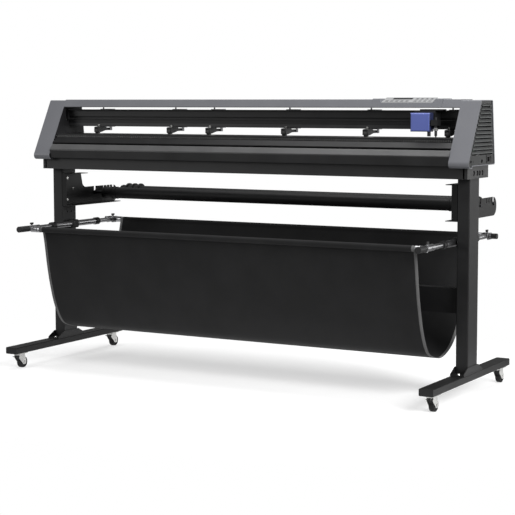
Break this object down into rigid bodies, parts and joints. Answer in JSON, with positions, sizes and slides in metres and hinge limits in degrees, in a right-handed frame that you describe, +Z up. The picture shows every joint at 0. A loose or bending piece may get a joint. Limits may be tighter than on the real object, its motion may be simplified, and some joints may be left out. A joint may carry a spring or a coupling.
{
  "type": "vinyl cutter",
  "caption": "Floor-standing vinyl cutter: wide cutting bed and blade carriage on a wheeled two-leg stand, with roll holders behind and a cloth catch basket.",
  "frame": {"origin": "on the floor under the middle of the machine", "axes": "+X to the operator's right, +Y to the back, +Z up"},
  "size_m": [2.094, 0.802, 1.1882],
  "materials": {
    "zinc_steel": "bright zinc",
    "rubber_tyre": "matt",
    "black_plastic": "matt",
    "black_powder_coat": "satin powder coat",
    "bolt_steel": "zinc plated",
    "shaft_steel": "satin",
    "basket_fabric": "plain weave",
    "black_aluminium": "black anodised",
    "grey_plastic": "fine texture",
    "keypad_film": "semi-matt film",
    "pinch_rubber": "matt",
    "blue_plastic": "semi-gloss",
    "white_nylon": "matt",
    "motor_steel": "satin",
    "circuit_board": "solder mask"
  },
  "bodies": {
    "machine": {"caster_plates": "zinc_steel", "right_foot": "black_powder_coat", "left_foot": "black_powder_coat", "foot_end_caps": "black_plastic", "right_leg": "black_powder_coat", "left_leg": "black_powder_coat", "leg_gussets": "black_powder_coat", "stretcher_beam": "black_powder_coat", "stand_bolts": "bolt_steel", "right_roll_arm": "black_powder_coat", "left_roll_arm": "black_powder_coat", "basket_cloth": "basket_fabric", "basket_side_tubes": "shaft_steel", "base_frame": "black_powder_coat", "platen": "black_aluminium", "front_rear_aprons": "black_powder_coat", "side_walls": "black_powder_coat", "panel_posts": "black_powder_coat", "right_end_cover": "grey_plastic", "left_end_cover": "grey_plastic", "vent_panels": "black_plastic", "top_cover": "grey_plastic", "control_panel": "grey_plastic", "keypad": "keypad_film", "guide_rail": "black_aluminium", "pinch_clips": "shaft_steel", "carriage_belt": "black_plastic", "drive_motors": "motor_steel", "electronics": "circuit_board", "power_inlet": "black_plastic"},
    "front_left_caster": {"front_left_fork": "zinc_steel"},
    "front_left_tyre": {"front_left_wheel": "rubber_tyre"},
    "front_left_pedal": {"front_left_brake": "black_plastic"},
    "front_right_caster": {"front_right_fork": "zinc_steel"},
    "front_right_tyre": {"front_right_wheel": "rubber_tyre"},
    "front_right_pedal": {"front_right_brake": "black_plastic"},
    "rear_left_caster": {"rear_left_fork": "zinc_steel"},
    "rear_left_tyre": {"rear_left_wheel": "rubber_tyre"},
    "rear_left_pedal": {"rear_left_brake": "black_plastic"},
    "rear_right_caster": {"rear_right_fork": "zinc_steel"},
    "rear_right_tyre": {"rear_right_wheel": "rubber_tyre"},
    "rear_right_pedal": {"rear_right_brake": "black_plastic"},
    "front_shaft": {"front_roll_shaft": "shaft_steel"},
    "back_shaft": {"back_roll_shaft": "shaft_steel"},
    "right_stop": {"right_roll_stop": "black_plastic"},
    "left_stop": {"left_roll_stop": "black_plastic"},
    "front_basket_rail": {"front_cross_rail": "shaft_steel", "front_rail_mounts": "shaft_steel"},
    "rear_basket_rail": {"rear_cross_rail": "shaft_steel", "rear_rail_mounts": "shaft_steel"},
    "carriage": {"carriage_body": "black_plastic", "carriage_cover": "blue_plastic"},
    "blade": {"blade_holder": "black_plastic"},
    "drive_pulley_set": {"drive_pulley": "white_nylon"},
    "idler_pulley_set": {"idler_pulley": "white_nylon"},
    "grit_drums": {"grit_shaft": "shaft_steel"},
    "lever": {"load_lever": "shaft_steel"},
    "pinch_set": {"pinch_arms": "black_plastic"},
    "pinch_rollers": {"pinch_wheels": "pinch_rubber"},
    "rocker": {"power_switch": "black_plastic"}
  },
  "joints": [
    {"name": "front_left_swivel", "type": "hinge", "parent": "machine", "child": "front_left_caster", "pos_m": [-0.9885, -0.347, 0.062], "axis": [0, 0, 1], "continuous": true},
    {"name": "front_left_roll", "type": "hinge", "parent": "front_left_caster", "child": "front_left_tyre", "pos_m": [-0.9885, -0.328, 0.025], "axis": [1, 0, 0], "continuous": true},
    {"name": "front_left_brake_pedal", "type": "hinge", "parent": "front_left_caster", "child": "front_left_pedal", "pos_m": [-0.9885, -0.358, 0.049], "axis": [1, 0, 0], "range_deg": [0, 14]},
    {"name": "front_right_swivel", "type": "hinge", "parent": "machine", "child": "front_right_caster", "pos_m": [0.9885, -0.347, 0.062], "axis": [0, 0, 1], "continuous": true},
    {"name": "front_right_roll", "type": "hinge", "parent": "front_right_caster", "child": "front_right_tyre", "pos_m": [0.9885, -0.328, 0.025], "axis": [1, 0, 0], "continuous": true},
    {"name": "front_right_brake_pedal", "type": "hinge", "parent": "front_right_caster", "child": "front_right_pedal", "pos_m": [0.9885, -0.358, 0.049], "axis": [1, 0, 0], "range_deg": [0, 14]},
    {"name": "rear_left_swivel", "type": "hinge", "parent": "machine", "child": "rear_left_caster", "pos_m": [-0.9885, 0.347, 0.062], "axis": [0, 0, 1], "continuous": true},
    {"name": "rear_left_roll", "type": "hinge", "parent": "rear_left_caster", "child": "rear_left_tyre", "pos_m": [-0.9885, 0.366, 0.025], "axis": [1, 0, 0], "continuous": true},
    {"name": "rear_left_brake_pedal", "type": "hinge", "parent": "rear_left_caster", "child": "rear_left_pedal", "pos_m": [-0.9885, 0.336, 0.049], "axis": [1, 0, 0], "range_deg": [0, 14]},
    {"name": "rear_right_swivel", "type": "hinge", "parent": "machine", "child": "rear_right_caster", "pos_m": [0.9885, 0.347, 0.062], "axis": [0, 0, 1], "continuous": true},
    {"name": "rear_right_roll", "type": "hinge", "parent": "rear_right_caster", "child": "rear_right_tyre", "pos_m": [0.9885, 0.366, 0.025], "axis": [1, 0, 0], "continuous": true},
    {"name": "rear_right_brake_pedal", "type": "hinge", "parent": "rear_right_caster", "child": "rear_right_pedal", "pos_m": [0.9885, 0.336, 0.049], "axis": [1, 0, 0], "range_deg": [0, 14]},
    {"name": "front_shaft_spin", "type": "hinge", "parent": "machine", "child": "front_shaft", "pos_m": [0, 0.19, 0.752], "axis": [1, 0, 0], "continuous": true},
    {"name": "back_shaft_spin", "type": "hinge", "parent": "machine", "child": "back_shaft", "pos_m": [0, 0.335, 0.752], "axis": [1, 0, 0], "continuous": true},
    {"name": "right_stop_slide", "type": "slide", "parent": "back_shaft", "child": "right_stop", "axis": [1, 0, 0], "range_m": [-0.6, 0.02]},
    {"name": "left_stop_slide", "type": "slide", "parent": "back_shaft", "child": "left_stop", "axis": [1, 0, 0], "range_m": [-0.02, 0.6]},
    {"name": "front_rail_slide", "type": "slide", "parent": "machine", "child": "front_basket_rail", "axis": [0, 1, 0], "range_m": [-0.02, 0.08], "deforming": ["basket_cloth"]},
    {"name": "rear_rail_slide", "type": "slide", "parent": "machine", "child": "rear_basket_rail", "axis": [0, 1, 0], "range_m": [-0.08, 0.02], "deforming": ["basket_cloth"]},
    {"name": "carriage_slide", "type": "slide", "parent": "machine", "child": "carriage", "axis": [1, 0, 0], "range_m": [-1.7, 0.06]},
    {"name": "blade_lift", "type": "slide", "parent": "carriage", "child": "blade", "axis": [0, 0, 1], "range_m": [-0.0025, 0.004]},
    {"name": "drive_pulley_spin", "type": "hinge", "parent": "machine", "child": "drive_pulley_set", "pos_m": [-1.004, -0.013, 1.116], "axis": [0, 1, 0], "continuous": true},
    {"name": "idler_pulley_spin", "type": "hinge", "parent": "machine", "child": "idler_pulley_set", "pos_m": [1.004, -0.013, 1.116], "axis": [0, 1, 0], "continuous": true},
    {"name": "grit_spin", "type": "hinge", "parent": "machine", "child": "grit_drums", "pos_m": [0, -0.04, 1.018], "axis": [1, 0, 0], "continuous": true},
    {"name": "load_lever_turn", "type": "hinge", "parent": "machine", "child": "lever", "pos_m": [-0.9725, 0.05, 1.076], "axis": [-1, 0, 0], "range_deg": [0, 40]},
    {"name": "pinch_lift", "type": "hinge", "parent": "machine", "child": "pinch_set", "pos_m": [0, 0.04, 1.051], "axis": [-1, 0, 0], "range_deg": [0, 5]},
    {"name": "pinch_roller_spin", "type": "hinge", "parent": "pinch_set", "child": "pinch_rollers", "pos_m": [0, -0.04, 1.0423], "axis": [1, 0, 0], "continuous": true},
    {"name": "power_rocker", "type": "hinge", "parent": "machine", "child": "rocker", "pos_m": [1.039, 0.082, 0.946], "axis": [0, 1, 0], "range_deg": [0, 16]}
  ],
  "couplings": [
    {"joint": "drive_pulley_spin", "follows": "carriage_slide", "rad_per_m": 52.5},
    {"joint": "idler_pulley_spin", "follows": "carriage_slide", "rad_per_m": 52.5},
    {"joint": "pinch_lift", "follows": "load_lever_turn", "ratio": 0.125}
  ]
}
